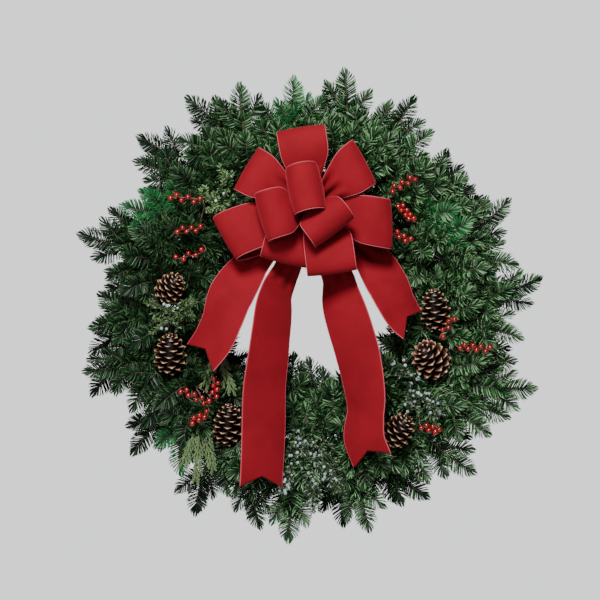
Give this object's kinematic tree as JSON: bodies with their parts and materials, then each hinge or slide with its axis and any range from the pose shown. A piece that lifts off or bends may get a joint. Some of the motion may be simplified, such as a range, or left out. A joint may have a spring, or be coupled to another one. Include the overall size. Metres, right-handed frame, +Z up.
{
  "type": "evergreen wreath",
  "caption": "Round evergreen door wreath of fir, juniper and cedar on a wire ring, with pine cones, red berries and a large velvet ribbon bow whose tails hang across it.",
  "frame": {"origin": "the point inside the top of the hanging loop that rests on the door's hook", "axes": "+X to the right and +Z up, seen from the front; +Y into the door, with the viewer on -Y"},
  "size_m": [0.6304, 0.1776, 0.6511],
  "materials": {
    "frame_wire": "green lacquer, satin",
    "velvet": "short red velvet pile",
    "cone": "dry brown scales with pale tips",
    "berry": "glossy red",
    "fir": "dark green needles, waxy, satin",
    "juniper": "pale blue-green needles, matt",
    "cedar": "yellow-green scale leaves, satin"
  },
  "bodies": {
    "root": {"wire_frame": "frame_wire", "hanging_loop": "frame_wire", "bow_loop_top": "velvet", "bow_loop_upper_left": "velvet", "bow_loop_upper_right": "velvet", "bow_loop_left": "velvet", "bow_loop_right": "velvet", "bow_loop_bottom_left": "velvet", "bow_loop_bottom_right": "velvet", "bow_loop_centre_top": "velvet", "bow_loop_centre_left": "velvet", "bow_loop_centre_right": "velvet", "bow_tail_1": "velvet", "bow_tail_2": "velvet", "bow_tail_3": "velvet", "bow_tail_4": "velvet", "bow_tie": "velvet", "pine_cone_1": "cone", "pine_cone_2": "cone", "pine_cone_3": "cone", "pine_cone_4": "cone", "pine_cone_5": "cone", "pine_cone_6": "cone", "berry_pick_1": "berry", "berry_pick_2": "berry", "berry_pick_3": "berry", "berry_pick_4": "berry", "berry_pick_5": "berry", "juniper_spray_1": "juniper", "juniper_spray_2": "juniper", "juniper_spray_3": "juniper", "juniper_spray_4": "juniper", "cedar_spray_1": "cedar", "cedar_spray_2": "cedar", "fir_bundle_01": "fir", "fir_bundle_02": "fir", "fir_bundle_03": "fir", "fir_bundle_04": "fir", "fir_bundle_05": "fir", "fir_bundle_06": "fir", "fir_bundle_07": "fir", "fir_bundle_08": "fir", "fir_bundle_09": "fir", "fir_bundle_10": "fir", "fir_bundle_11": "fir", "fir_bundle_12": "fir", "fir_bundle_13": "fir", "fir_bundle_14": "fir", "fir_bundle_15": "fir", "fir_bundle_16": "fir", "fir_bundle_17": "fir", "fir_bundle_18": "fir"}
  },
  "joints": []
}
